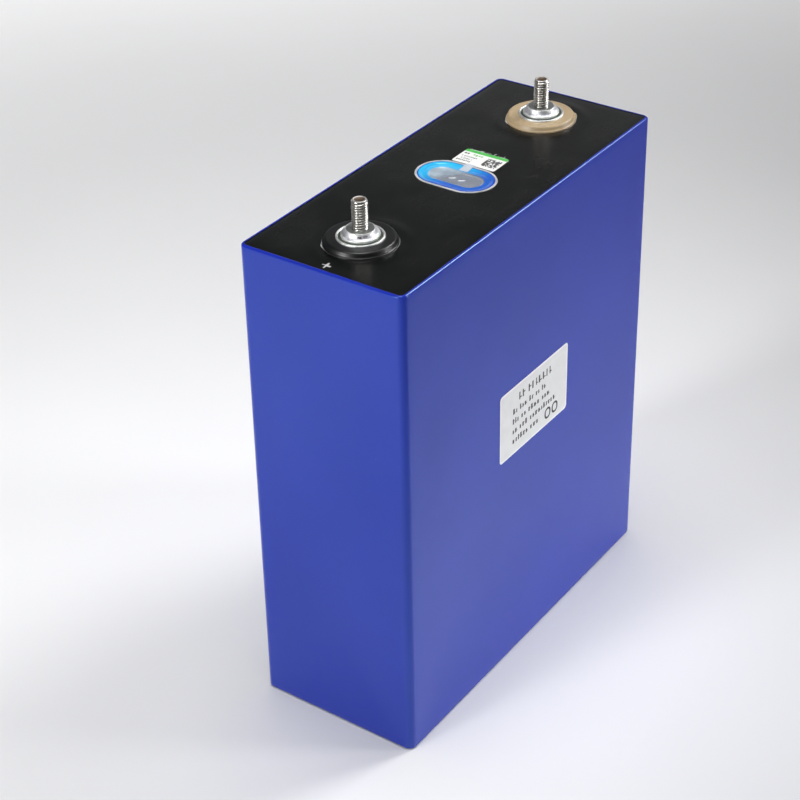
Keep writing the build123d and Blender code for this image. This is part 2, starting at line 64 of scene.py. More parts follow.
class Shade:
    """A node material around one Principled BSDF; every pattern is a function of the place on the part."""

    def __init__(self, name, **uniform):
        self.mat = bpy.data.materials.new(name)
        self.mat.use_nodes = True
        self.tree = self.mat.node_tree
        self.bsdf = self.tree.nodes["Principled BSDF"]
        self.place = self.add("ShaderNodeTexCoord").outputs["Object"]
        for socket, value in uniform.items():
            self.set(socket, value)

    def add(self, kind):
        return self.tree.nodes.new(kind)

    def plug(self, value, socket):
        if isinstance(value, bpy.types.NodeSocket):
            self.tree.links.new(value, socket)
        elif value is not None:
            socket.default_value = value

    def set(self, socket, value):
        name = socket.replace("_", " ")
        if isinstance(value, tuple) and len(value) == 3 and name.endswith(("Color", "Tint")):
            value = (*value, 1.0)
        self.plug(value, self.bsdf.inputs[name])

    def pattern(self, kind, size, stretch=(1, 1, 1)):
        """A texture node whose features are about size millimetres."""
        scale = 1.0 / (size * MM)
        place = self.add("ShaderNodeMapping")
        place.inputs["Scale"].default_value = tuple(scale * s for s in stretch)
        self.plug(self.place, place.inputs["Vector"])
        node = self.add(kind)
        self.plug(place.outputs["Vector"], node.inputs["Vector"])
        node.inputs["Scale"].default_value = 1.0
        return node

    def noise(self, size, detail=3.0, rough=0.5, stretch=(1, 1, 1), warp=0.0):
        node = self.pattern("ShaderNodeTexNoise", size, stretch)
        for socket, number in (("Detail", detail), ("Roughness", rough), ("Distortion", warp)):
            node.inputs[socket].default_value = number
        return node.outputs["Fac"]

    def cells(self, size):
        return self.pattern("ShaderNodeTexVoronoi", size).outputs["Distance"]

    def fit(self, value, low, high, to_low=0.0, to_high=1.0, smooth=False):
        node = self.add("ShaderNodeMapRange")
        node.clamp = True
        if smooth:
            node.interpolation_type = "SMOOTHSTEP"
        self.plug(value, node.inputs["Value"])
        for socket, number in zip(("From Min", "From Max", "To Min", "To Max"), (low, high, to_low, to_high)):
            self.plug(number, node.inputs[socket])
        return node.outputs["Result"]

    def math(self, operation, a, b=None):
        node = self.add("ShaderNodeMath")
        node.operation = operation
        for value, socket in zip((a, b), node.inputs):
            self.plug(value, socket)
        return node.outputs["Value"]

    def plus(self, a, b):
        return self.math("ADD", a, b)

    def times(self, a, b):
        return self.math("MULTIPLY", a, b)

    def mix(self, factor, a, b):
        node = self.add("ShaderNodeMix")
        node.data_type = "RGBA"
        self.plug(factor, node.inputs["Factor"])
        for value, name in ((a, "A"), (b, "B")):
            if isinstance(value, tuple):
                value = (*value, 1.0)
            self.plug(value, next(i for i in node.inputs if i.name == name and i.type == "RGBA"))
        return next(o for o in node.outputs if o.type == "RGBA")

    def axes(self):
        node = self.add("ShaderNodeSeparateXYZ")
        self.plug(self.place, node.inputs["Vector"])
        return [node.outputs[k] for k in "XYZ"]

    def bump(self, height, depth, strength=1.0, below=None):
        """Bump of a height from 0 to 1 that stands for depth millimetres."""
        node = self.add("ShaderNodeBump")
        node.inputs["Strength"].default_value = strength
        node.inputs["Distance"].default_value = depth * MM
        self.plug(height, node.inputs["Height"])
        self.plug(below, node.inputs["Normal"])
        return node.outputs["Normal"]

    def radius(self, centre, half_straight=0.0):
        """Distance in millimetres from a vertical axis, or from a straight stretch along Y."""
        x, y, _ = self.axes()
        dx = self.math("SUBTRACT", x, centre[0] * MM)
        dy = self.math("SUBTRACT", y, centre[1] * MM)
        if half_straight:
            beyond = self.math("SUBTRACT", self.math("ABSOLUTE", dy), half_straight * MM)
            dy = self.math("MAXIMUM", beyond, 0.0)
        square = self.plus(self.times(dx, dx), self.times(dy, dy))
        return self.times(self.math("SQRT", square), 1.0 / MM)

    def axis_distance(self):
        """Distance in millimetres from the nearer terminal's axis."""
        return self.math("MINIMUM", *(self.radius(centre) for centre in CENTRES))

    def dust(self, apart, reach, patch, sparse, share):
        """Share of dust at a place: specks about apart millimetres from each other, in patches."""
        specks = self.fit(self.cells(apart), 0.0, reach, 1.0, 0.0)
        return self.times(self.times(specks, self.fit(self.noise(patch, 2), sparse, 0.62)), share)


def dim(colour, share):
    return tuple(c * share for c in colour)


def glossy_film(name, colour, deep, rough):
    """Dyed plastic film: slight drift of the dye, fine orange peel, rub marks that only show in the gloss."""
    s = Shade(name, IOR=1.54, Specular_Tint=(0.60, 1.0, 0.96))
    tone = s.mix(s.fit(s.noise(60, 2), 0.35, 0.65), deep, colour)
    rubbed = s.fit(s.noise(2.2, 5, 0.65, stretch=(1, 1, 0.25), warp=0.6), 0.55, 0.8)
    s.set("Base Color", s.mix(s.dust(3.1, 0.045, 9, 0.56, 0.35), tone, (0.55, 0.6, 0.9)))
    cloud = s.fit(s.noise(18, 3), 0.3, 0.7, 0.0, 0.04)
    s.set("Roughness", s.plus(s.fit(rubbed, 0, 1, rough, rough + 0.10), cloud))
    s.set("Normal", s.bump(s.noise(0.9, 3, 0.55), 0.005, 0.5, s.bump(s.noise(14, 2, 0.5), 0.02, 0.6)))
    return s.mat


def satin_film(name, colour, rough):
    """Black top film: soft calendered grain, faint wipe marks and a little dust."""
    s = Shade(name, IOR=1.48)
    haze = s.fit(s.noise(26, 2, 0.45), 0.3, 0.75, smooth=True)
    wipe = s.fit(s.noise(5.0, 2, 0.4, stretch=(0.5, 1.2, 1)), 0.25, 0.8, smooth=True)
    base = s.mix(s.times(haze, 0.5), colour, tuple(c * 1.9 + 0.002 for c in colour))
    s.set("Base Color", s.mix(s.dust(2.3, 0.035, 7, 0.55, 0.55), base, (0.32, 0.34, 0.33)))
    s.set("Roughness", s.plus(s.fit(haze, 0, 1, rough, rough + 0.035), s.fit(wipe, 0, 1, 0.0, 0.02)))
    s.set("Normal", s.bump(s.noise(0.35, 2, 0.6), 0.008, 0.6, s.bump(s.noise(9, 3, 0.5), 0.05, 0.5)))
    return s.mat


def turned_metal(name, colour, rough, pitch=0.32, stain=None, scorched=()):
    """Machined metal: fine rings round the nearer terminal's axis, scratches and a slightly uneven oxide.

    Each of scorched is (centre, reach, radius of the burnt ring, noise level it starts at, colour)."""
    s = Shade(name, Metallic=1.0)
    r = s.axis_distance()
    rings = s.fit(s.math("SINE", s.plus(s.times(r, TAU / pitch), s.times(s.noise(0.6, 3, 0.6), 5.0))), -1, 1)
    oxide = s.fit(s.noise(2.4, 5, 0.6), 0.35, 0.7)
    scratch = s.fit(s.noise(0.5, 5, 0.7, stretch=(0.3, 1.6, 1)), 0.5, 0.78)
    tone = s.mix(oxide, dim(colour, 0.72), colour)
    if stain:
        mark = s.fit(s.noise(1.1, 4, 0.6, warp=0.5), 0.60, 0.72)
        tone = s.mix(s.times(mark, 0.7), tone, stain)
    for centre, reach, band, start, soot in scorched:
        near = s.fit(s.radius(centre), reach * 0.45, reach, 1.0, 0.0)
        level = s.fit(s.math("ABSOLUTE", s.math("SUBTRACT", r, band)), 0.04, 0.2, 1.0, 0.0)
        burn = s.times(s.noise(0.45, 4, 0.65, warp=0.5), s.times(near, level))
        tone = s.mix(s.fit(burn, start, start + 0.12), tone, soot)
    s.set("Base Color", tone)
    s.set("Roughness", s.plus(s.fit(oxide, 0, 1, rough, rough + 0.12), s.fit(scratch, 0, 1, 0.0, 0.12)))
    s.set("Normal", s.bump(rings, 0.012, 0.7, s.bump(scratch, 0.006, 0.5)))
    return s.mat


def thread_steel(name, colour, rough, shade_inner_radius=2.44, shade_outer_radius=2.74):
    """Rolled thread: crests and flanks keep the steel's colour; the roots are darkened and rougher, a painted
    shade with some grime.
    """
    s = Shade(name, Metallic=1.0)
    grime_and_shade_spread = s.fit(s.noise(1.0, 4, 0.6), 0.3, 0.7, 0.75, 1.0)
    # painted shade: the colour darkens from the outer radius in to the inner one, down in the thread's roots
    deep = s.times(s.fit(s.axis_distance(), shade_inner_radius, shade_outer_radius, 1.0, 0.0, smooth=True), grime_and_shade_spread)
    scratch = s.fit(s.noise(0.4, 5, 0.7, stretch=(1.6, 1.6, 0.3)), 0.5, 0.78)
    s.set("Base Color", s.mix(deep, colour, (0.075, 0.06, 0.045)))
    s.set("Roughness", s.plus(s.fit(deep, 0, 1, rough, 0.5), s.fit(scratch, 0, 1, 0.0, 0.12)))
    s.set("Normal", s.bump(scratch, 0.006, 0.5))
    return s.mat


def rolled_metal(name, colour, rough, grain=(0.08, 1, 1)):
    """Sheet metal with a rolling direction."""
    s = Shade(name, Metallic=1.0)
    lines = s.noise(0.7, 4, 0.65, stretch=grain)
    cloud = s.fit(s.noise(6, 4, 0.55), 0.3, 0.7)
    s.set("Base Color", s.mix(cloud, dim(colour, 0.78), colour))
    s.set("Roughness", s.plus(s.fit(cloud, 0, 1, rough, rough + 0.1), s.fit(lines, 0.35, 0.7, 0.0, 0.1)))
    s.set("Normal", s.bump(lines, 0.01, 0.6))
    return s.mat


def moulded(name, colour, rough, shade=0.8, warm=None):
    """Injection-moulded plastic: fine grain, faint darker flow marks and, if warm is given, warmer flecks."""
    s = Shade(name, IOR=1.52)
    flow = s.fit(s.noise(5, 4, 0.55, stretch=(1, 1, 0.5), warp=0.7), 0.35, 0.7)
    fleck = s.fit(s.noise(0.45, 3, 0.6), 0.52, 0.75)
    tone = s.mix(flow, dim(colour, shade), colour)
    if warm:
        tone = s.mix(s.times(fleck, 0.35), tone, warm)
    s.set("Base Color", tone)
    s.set("Roughness", s.plus(s.fit(flow, 0, 1, rough, rough + 0.07), s.fit(fleck, 0, 1, 0.0, 0.06)))
    s.set("Normal", s.bump(s.noise(0.22, 2, 0.6), 0.006, 0.6, s.bump(flow, 0.02, 0.4)))
    return s.mat


def coated(name, colour, rough, size=0.25):
    """Coated foil: a fine powdery layer with rolling streaks."""
    s = Shade(name)
    powder = s.noise(size, 4, 0.65)
    streak = s.fit(s.noise(3, 4, 0.6, stretch=(0.2, 0.2, 1)), 0.35, 0.7)
    s.set("Base Color", s.mix(streak, dim(colour, 0.7), colour))
    s.set("Roughness", s.fit(powder, 0.3, 0.7, rough, rough + 0.15))
    s.set("Normal", s.bump(powder, 0.02, 0.7))
    return s.mat


def clear_sheet(name, colour, alpha, rough):
    """Thin clear or milky plastic sheet."""
    s = Shade(name, IOR=1.5)
    cloud = s.fit(s.noise(8, 4, 0.6), 0.3, 0.7)
    s.set("Base Color", s.mix(cloud, dim(colour, 0.9), colour))
    s.set("Alpha", s.fit(cloud, 0, 1, alpha * 0.85, alpha))
    s.set("Roughness", s.fit(s.noise(1.5, 4, 0.6), 0.3, 0.7, rough, rough + 0.12))
    s.set("Normal", s.bump(s.noise(5, 3), 0.04, 0.5))
    return s.mat


def paper(name, colour, rough, metallic=0.0):
    """Printed label stock: fine fibre grain and slight unevenness of the coating."""
    s = Shade(name, Metallic=metallic)
    fibre = s.noise(0.16, 3, 0.6, stretch=(1, 0.4, 1))
    cloud = s.fit(s.noise(5, 3, 0.5), 0.3, 0.7)
    s.set("Base Color", s.mix(cloud, dim(colour, 0.93), colour))
    s.set("Roughness", s.fit(fibre, 0.3, 0.7, rough, rough + 0.12))
    s.set("Normal", s.bump(fibre, 0.006, 0.5, s.bump(s.noise(6, 2), 0.03, 0.5)))
    return s.mat


# -------- mesh tools


def finish_mesh(name, mesh, stands_for, sharp):
    mesh.validate()
    mesh.update()
    obj = bpy.data.objects.new(name, mesh)
    scene.collection.objects.link(obj)
    for polygon in mesh.polygons:
        polygon.use_smooth = True
    mesh.set_sharp_from_angle(angle=math.radians(sharp))
    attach(obj, "root")
    if stands_for:
        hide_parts(*stands_for)


def circle_path(cx, count):
    """Feet and outward normals of points round a circle about a vertical axis in the XZ plane."""
    angles = [TAU * i / count for i in range(count)]
    return [((cx, 0.0), (math.cos(a), math.sin(a))) for a in angles]


def slot_path(half_straight, around, along):
    """The same round a slot whose long axis is Y and whose centre is the origin."""
    path = []
    for sign in (1, -1):
        for i in range(around + 1):
            angle = math.pi * i / around + (0 if sign > 0 else math.pi)
            path.append(((0.0, sign * half_straight), (math.cos(angle), math.sin(angle))))
        for i in range(1, along):
            path.append(((0.0, sign * half_straight * (1 - 2 * i / along)), (-sign, 0.0)))
    return path


def rectangle_path(half_x, half_y, corner, step, extra):
    """The same round a rectangle of corner feet, with extra stations (side, place) along its sides."""
    path = []
    corners = [(half_x, -half_y), (half_x, half_y), (-half_x, half_y), (-half_x, -half_y)]
    normals = [(1, 0), (0, 1), (-1, 0), (0, -1)]
    for number, (start, normal) in enumerate(zip(corners, normals)):
        end = corners[(number + 1) % 4]
        count = max(2, round(math.dist(start, end) / step))
        stations = [i / count for i in range(count + 1)]
        stations += [place for side, place in extra if side == number]
        for t in sorted(stations):
            path.append(((start[0] + (end[0] - start[0]) * t, start[1] + (end[1] - start[1]) * t), normal))
        angle = math.atan2(normal[1], normal[0])
        for i in range(1, corner):
            turn = angle + math.pi / 2 * i / corner
            path.append((end, (math.cos(turn), math.sin(turn))))
    return path


def arc(centre, radius, start, end, count):
    """Points of a profile arc (r, z); angles in degrees from outward, counterclockwise."""
    out = []
    for i in range(count + 1):
        a = math.radians(start + (end - start) * i / count)
        out.append((centre[0] + radius * math.cos(a), centre[1] + radius * math.sin(a)))
    return out


def sweep(name, path, profile, materials, stands_for, shape, sharp, pick=None, closed=False):
    """Carries a profile of (r, z) points round a path.

    shape(x, y, z, r, k, normal) moves the profile's point k; pick(centre) is a face's material number."""
    verts = []
    for foot, normal in path:
        for k, (r, z) in enumerate(profile):
            x, y, z = shape(foot[0] + normal[0] * r, foot[1] + normal[1] * r, z, r, k, normal)
            verts.append((x * MM, y * MM, z * MM))
    rows, columns = len(profile), len(path)
    faces = []
    last = rows if closed else rows - 1
    for i in range(columns):
        j = (i + 1) % columns
        for k in range(last):
            m = (k + 1) % rows
            faces.append((i * rows + k, j * rows + k, j * rows + m, i * rows + m))
    mesh = bpy.data.meshes.new(name)
    mesh.from_pydata(verts, [], faces)
    place_materials(name, mesh, materials, stands_for, pick, sharp)


def place_materials(name, mesh, materials, stands_for=(), pick=None, sharp=35.0):
    """Merges doubled points, turns every face outwards and gives the mesh its materials."""
    bm = bmesh.new()
    bm.from_mesh(mesh)
    bmesh.ops.remove_doubles(bm, verts=bm.verts, dist=1e-6)
    bmesh.ops.dissolve_degenerate(bm, edges=bm.edges, dist=1e-7)
    bmesh.ops.recalc_face_normals(bm, faces=bm.faces)
    bm.to_mesh(mesh)
    bm.free()
    for material in materials:
        mesh.materials.append(material)
    if pick:
        for polygon in mesh.polygons:
            polygon.material_index = pick(polygon.center / MM)
    finish_mesh(name, mesh, stands_for, sharp)


def inside(point, loop):
    x, y = point
    hit = False
    for i in range(len(loop)):
        x0, y0 = loop[i - 1]
        x1, y1 = loop[i]
        if (y0 > y) != (y1 > y) and x < (x1 - x0) * (y - y0) / (y1 - y0) + x0:
            hit = not hit
    return hit


def gap_to(point, loop):
    best = 1e9
    p = Vector(point)
    for i in range(len(loop)):
        a, b = Vector(loop[i - 1]), Vector(loop[i])
        d = b - a
        t = max(0.0, min(1.0, (p - a).dot(d) / max(d.length_squared, 1e-12)))
        best = min(best, (p - (a + d * t)).length)
    return best


def resample(loop, step):
    out = []
    for i in range(len(loop)):
        a, b = Vector(loop[i - 1]), Vector(loop[i])
        count = max(1, math.ceil((b - a).length / step))
        out += [tuple(a + (b - a) * (k / count)) for k in range(count)]
    return out


def sheet(name, outer, holes, marks, step, underside, top, materials, stands_for,
          to_space=lambda x, y, z: (x, y, z)):
    """A thin closed sheet: outline, holes and printed marks are edges of one triangulation.

    underside(x, y) and top(x, y) give the two levels; to_space maps (x, y, level) to the part's millimetres.
    Each mark is (loop, material number) and is part of the top surface."""
    loops = [resample(outer, step)] + [resample(h, step) for h in holes] + [m[0] for m in marks]
    points, edges = [], []
    for loop in loops:
        start = len(points)
        points += [Vector(p) for p in loop]
        edges += [(start + i, start + (i + 1) % len(loop)) for i in range(len(loop))]
    # inner points stand in staggered rows, clear of the outlines
    low_x, high_x = min(p[0] for p in outer), max(p[0] for p in outer)
    low_y, high_y = min(p[1] for p in outer), max(p[1] for p in outer)
    outlines = loops[: 1 + len(holes)]
    row = 0
    y = low_y + step / 2
    while y < high_y:
        x = low_x + step * (0.5 if row % 2 else 0.25)
        while x < high_x:
            if inside((x, y), outlines[0]) and not any(inside((x, y), h) for h in outlines[1:]):
                if all(gap_to((x, y), loop) > step * 0.4 for loop in outlines):
                    points.append(Vector((x, y)))
            x += step
        y += step * 0.87
        row += 1
    flat, _, triangles, _, _, _ = delaunay_2d_cdt(points, edges, [], 0, 1e-5)
    kept = []
    for triangle in triangles:
        centre = sum((flat[i] for i in triangle), Vector((0, 0))) / len(triangle)
        if inside(centre, outlines[0]) and not any(inside(centre, h) for h in outlines[1:]):
            number = 0
            for loop, material in marks:
                if inside(centre, loop):
                    number = material
            kept.append((tuple(triangle), number))
    used = sorted({i for t, _ in kept for i in t})
    index = {old: new for new, old in enumerate(used)}
    count = len(used)
    verts = [to_space(*flat[i], level(*flat[i])) for level in (top, underside) for i in used]
    faces, numbers = [], []
    half_edges = set()
    for triangle, number in kept:
        t = [index[i] for i in triangle]
        faces.append(t)
        numbers.append(number)
        faces.append([i + count for i in reversed(t)])
        numbers.append(0)
        half_edges |= {(t[i], t[(i + 1) % len(t)]) for i in range(len(t))}
    for a, b in sorted(half_edges):
        if (b, a) not in half_edges:
            faces.append([b, a, a + count, b + count])
            numbers.append(0)
    mesh = bpy.data.meshes.new(name)
    mesh.from_pydata([Vector(v) * MM for v in verts], [], faces)
    for material in materials:
        mesh.materials.append(material)
    for polygon, number in zip(mesh.polygons, numbers):
        polygon.material_index = number
    finish_mesh(name, mesh, stands_for, 40.0)


def rounded_rectangle(x0, y0, x1, y1, radius, count=6):
    low_x, low_y, high_x, high_y = x0 + radius, y0 + radius, x1 - radius, y1 - radius
    loop = []
    quarters = ((high_x, high_y, 0), (low_x, high_y, 90), (low_x, low_y, 180), (high_x, low_y, 270))
    for cx, cy, first in quarters:
        loop += arc((cx, cy), radius, first, first + 90, count)
    return loop


def box_mark(x0, y0, x1, y1):
    return [(x0, y0), (x1, y0), (x1, y1), (x0, y1)]


def soft(x, y, z=0.0, size=20.0, seed=0.0):
    """Smooth noise from about -1 to 1 with features of about size millimetres."""
    return noise.noise(Vector((x / size + seed * 7.31, y / size - seed * 3.17, z / size + seed * 5.73)))


# -------- measures read from the frame

HALF_X, HALF_Y, TOP = levels("wrap_film")[1]
lid_film_low, lid_film_high = levels("lid_film")
LID = lid_film_low.z
RING_TOP = levels("positive_insulator")[1].z
POLE_TOP = levels("positive_pole")[1].z
BOSS_TOP = levels("positive_stud_base")[1].z
STUD_FOOT, STUD_TOP = (corner.z for corner in levels("positive_stud"))
TERMINALS = {}
for polarity in ("positive", "negative"):
    TERMINALS[polarity] = sum(corner.x for corner in levels(f"{polarity}_pole")) / 2
CENTRES = [(x, 0.0) for x in TERMINALS.values()]
CORNER = 3.0
EDGE = 0.9

WELD_RADIUS = 5.85
WELD_ANGLE = math.radians(-140)


def weld_place(off):
    """A point on the positive terminal's weld, off radians on from the place where the weld began."""
    angle = WELD_ANGLE + off
    return TERMINALS["positive"] + WELD_RADIUS * math.cos(angle), WELD_RADIUS * math.sin(angle)


# -------- materials

BLUE = (0.013, 0.0275, 0.385)
DEEP_BLUE = (0.011, 0.024, 0.35)
wrap_blue = glossy_film("wrap_blue", BLUE, DEEP_BLUE, 0.13)
lid_black = satin_film("lid_black", (0.0022, 0.0027, 0.0024), 0.24)
bottom_clear = clear_sheet("bottom_clear", (0.75, 0.78, 0.80), 0.45, 0.2)
sleeve_clear = clear_sheet("sleeve_clear", (0.86, 0.88, 0.90), 0.4, 0.3)
can_alloy = rolled_metal("can_alloy", (0.78, 0.79, 0.80), 0.28, (1, 1, 0.06))
lid_alloy = rolled_metal("lid_alloy", (0.90, 0.90, 0.90), 0.50)
disc_alloy = rolled_metal("disc_alloy", (0.70, 0.70, 0.72), 0.46)
# near-white marks on the vent disc's scored arcs: a painted glint
score_glint_alloy = coated("score_glint_alloy", (0.97, 0.97, 0.97), 0.5)
terminal_alloy = turned_metal("terminal_alloy", (0.90, 0.91, 0.91), 0.46)
# dark greenish: painted shade in the pole's recess round the stud base
recess_shade_alloy = turned_metal("recess_shade_alloy", (0.16, 0.19, 0.15), 0.5)
boss_alloy = turned_metal("boss_alloy", (0.46, 0.48, 0.47), 0.32, 0.42)
weld_alloy = turned_metal("weld_alloy", (0.88, 0.89, 0.94), 0.44, 0.5, stain=(0.22, 0.19, 0.16),
                          scorched=((weld_place(-0.14), 1.25, 5.86, 0.26, (0.10, 0.055, 0.025)),
                                    (weld_place(0.24), 1.35, 5.78, 0.30, (0.26, 0.24, 0.25))))
stud_steel = thread_steel("stud_steel", (0.92, 0.90, 0.86), 0.24)
stud_rim = turned_metal("stud_rim", (0.92, 0.91, 0.88), 0.40, 0.2)
stud_dish = turned_metal("stud_dish", (0.20, 0.15, 0.11), 0.5, 0.3)
copper = rolled_metal("copper", (0.90, 0.45, 0.27), 0.28)
black_plastic = moulded("black_plastic", (0.005, 0.0055, 0.006), 0.33)
beige_plastic = moulded("beige_plastic", (0.48, 0.36, 0.215), 0.36, 0.86, warm=(0.56, 0.40, 0.22))
rubber = moulded("rubber", (0.02, 0.02, 0.02), 0.6)
inner_plastic = moulded("inner_plastic", (0.62, 0.64, 0.62), 0.45)
anode_coat = coated("anode_coat", (0.05, 0.05, 0.055), 0.6)
cathode_coat = coated("cathode_coat", (0.10, 0.105, 0.11), 0.55)
separator_film = coated("separator_film", (0.86, 0.86, 0.84), 0.5, 0.4)
blue_tape = glossy_film("roll_tape", (0.10, 0.30, 0.55), (0.08, 0.24, 0.48), 0.3)
amber_tape = glossy_film("amber_tape", (0.75, 0.38, 0.06), (0.62, 0.28, 0.04), 0.25)
foil_tab = rolled_metal("foil_tab", (0.84, 0.84, 0.85), 0.22)
copper_tab = rolled_metal("copper_tab", (0.90, 0.48, 0.30), 0.25)

carried = {
    "bottom_film": bottom_clear, "can": can_alloy, "lid_plate": lid_alloy, "fill_plug": rubber,
    "fill_cap": lid_alloy, "vent_guard": inner_plastic, "positive_seal": rubber, "negative_seal": rubber,
    "negative_pole_core": copper, "positive_lower_insulator": inner_plastic,
    "negative_lower_insulator": inner_plastic, "positive_collector": foil_tab, "negative_collector": copper,
    "positive_tab_tape": amber_tape, "negative_tab_tape": amber_tape, "insulation_sleeve": sleeve_clear,
    "bottom_support": inner_plastic,
}
for roll in "ab":
    carried[f"roll_{roll}_anode"] = anode_coat
    carried[f"roll_{roll}_cathode"] = cathode_coat
    carried[f"roll_{roll}_separators"] = separator_film
    carried[f"roll_{roll}_tape"] = blue_tape
    carried[f"roll_{roll}_positive_tab"] = foil_tab
    carried[f"roll_{roll}_negative_tab"] = copper_tab
for name, material in carried.items():
    data = nodes[name].data
    if data.materials:
        for i in range(len(data.materials)):
            data.materials[i] = material
    else:
        data.materials.append(material)

# -------- wrap film

SEAM_X = -24.0
LAP = 14.0
FLAP = 9.0
THIN = 0.08
INWARD = -1e3  # radius that marks the profile's points on the folded bottom flap
WALL_STEPS = 76


def wrap_shape(x, y, z, r, normal):
    """Slight slackness of the film, always inwards, and the lap of its two ends down the back."""
    if r < CORNER - 0.5:
        return x, y, z
    fade = max(0.0, min(1.0, (z - 1.0) / 12.0, (TOP - z - 0.5) / 8.0))
    slack = 0.5 + 0.5 * soft(x, y, z, 46.0, 1.0) + 0.25 * soft(x, y, z, 15.0, 2.0)
    sink = 0.055 * fade * max(0.0, slack)
    past = SEAM_X - x
    if normal[1] > 0.99 and y > 0 and 0 <= past < LAP:
        sink += 0.07 * (1 - past / LAP)
    return x - normal[0] * sink, y - normal[1] * sink, z


def wrap_point(x, y, z, r, k, normal):
    """Places one point: on the bottom flap, on the ragged upper edge or on the slack walls."""
    if r == INWARD:
        foot_x, foot_y = x - normal[0] * r, y - normal[1] * r
        return foot_x * (HALF_X - FLAP) / (HALF_X - CORNER), foot_y * (HALF_Y - FLAP) / (HALF_Y - CORNER), z
    if k < 3 and abs(r - CORNER) > 0.5:
        ragged = 0.10 * soft(x, y, 0, 3.0, 4.0) + 0.16 * soft(x, y, 0, 17.0, 5.0)
        return x + normal[0] * ragged, y + normal[1] * ragged, z
    return wrap_shape(x, y, z, r, normal)


wall_levels = [EDGE + (TOP - 2 * EDGE) * i / WALL_STEPS for i in range(1, WALL_STEPS)]
film_ring = [(CORNER - 1.2, TOP - THIN), (CORNER - 1.2, TOP - 0.02), (CORNER - 1.17, TOP)]
film_ring += arc((CORNER - EDGE, TOP - EDGE), EDGE, 90, 0, 7)
film_ring += [(CORNER, z) for z in reversed(wall_levels)]
film_ring += arc((CORNER - EDGE, EDGE), EDGE, 0, -90, 7)
film_ring += [(0.0, 0.0), (INWARD, 0.0), (INWARD, THIN), (0.0, THIN)]
film_ring += arc((CORNER - EDGE, EDGE), EDGE - THIN, -90, 0, 5)
film_ring += arc((CORNER - EDGE, TOP - EDGE), EDGE - THIN, 0, 90, 5)

seam_place = (HALF_X - CORNER - SEAM_X) / (2 * (HALF_X - CORNER))
seam_stations = ((1, seam_place - 1e-4), (1, seam_place + 6e-4))
wrap_path = rectangle_path(HALF_X - CORNER, HALF_Y - CORNER, 10, 2.6, seam_stations)
sweep("wrap_film_skin", wrap_path, film_ring, [wrap_blue],
      ["wrap_film"], wrap_point, 50.0, closed=True)

# -------- lid film

RING = 13.9
EAR_ANGLES = (math.radians(-45), math.radians(135))
# radii of the tips of the ears at EAR_ANGLES, for the moulded rings and for the film's cut-outs round them;
# a tip at RING means no ear there
RING_TIPS = {"positive": (RING, RING), "negative": (14.75, RING)}
CUT_TIPS = {"positive": (RING, 14.4), "negative": (14.8, 14.5)}
CUT_GAP = 0.2
VENT_OPENING = (33.6, 21.0)
PLUS_X, PLUS_SIZE, PLUS_BAR = -82.0, 4.0, 0.9
DRAPE = 0.50


def ring_reach(angle, tips):
    """Radius of a circle with pointed ears whose sides are tangent to it and whose tips are rounded."""
    reach = RING
    for ear, tip in zip(EAR_ANGLES, tips):
        off = abs((angle - ear + math.pi) % TAU - math.pi)
        spread = math.acos(RING / tip)
        if off < spread:
            sharp = RING / math.cos(spread - off)
            rounded = tip - 0.16 - off * off * 9.0
            reach = max(reach, min(sharp, max(rounded, RING)) if off < 0.09 else sharp)
    return reach


def ring_loop(polarity, count=120):
    loop = []
    for i in range(count):
        angle = TAU * i / count
        reach = ring_reach(angle, CUT_TIPS[polarity]) + CUT_GAP
        loop.append((TERMINALS[polarity] + reach * math.cos(angle), reach * math.sin(angle)))
    return loop


def slot_loop(length, width, count=36):
    half = (length - width) / 2
    return arc((0, half), width / 2, 0, 180, count) + arc((0, -half), width / 2, 180, 360, count)


def plus_loop():
    s, b = PLUS_SIZE / 2, PLUS_BAR / 2
    pattern = [(s, -b), (s, b), (b, b), (b, s), (-b, s), (-b, b),
               (-s, b), (-s, -b), (-b, -b), (-b, -s), (b, -s), (b, -b)]
    wobble = random.Random(5)
    return [(PLUS_X + x + wobble.uniform(-0.14, 0.14), y + wobble.uniform(-0.14, 0.14)) for x, y in pattern]


def lid_lift(x, y):
    """Height of the black film above the lid: it ripples a little and puckers beside the cut-outs."""
    lift = 0.05 * (0.5 + 0.5 * soft(x, y, 0, 26.0, 8.0)) + 0.03 * (0.5 + 0.5 * soft(x, y, 0, 9.0, 9.0))
    for cx in TERMINALS.values():
        r = math.hypot(x - cx, y)
        angle = math.atan2(y, x - cx)
        lift += 0.14 * math.exp(-((r - 17.0) / 2.2) ** 2) * (0.55 + 0.45 * math.cos(angle * 2 + 0.8))
    edge = min(HALF_X - 1.2 - abs(x), HALF_Y - 1.2 - abs(y))
    over = max(0.0, abs(y) - (HALF_Y - EDGE))
    droop = EDGE - math.sqrt(max(0.0, EDGE ** 2 - over ** 2))
    return lift * max(0.0, min(1.0, edge / 2.5)) - droop


reach_x, reach_y = lid_film_high.x, lid_film_high.y + DRAPE
lid_outline = rounded_rectangle(-reach_x, -reach_y, reach_x, reach_y, CORNER - EDGE, 6)
holes = [ring_loop(polarity) for polarity in TERMINALS] + [slot_loop(*VENT_OPENING), plus_loop()]
sheet("lid_film_skin", lid_outline, holes, [], 1.6,
      lambda x, y: LID + 0.01 + lid_lift(x, y), lambda x, y: LID + 0.13 + lid_lift(x, y),
      [lid_black], ["lid_film"])

# -------- terminal rings, poles, stud bases and studs

RING_BORE = 9.02
POLE_FOOT = 205.5


def rises(level, *points):
    """Profile points (r, z) from points (r, rise above the level)."""
    return [(r, level + rise) for r, rise in points]


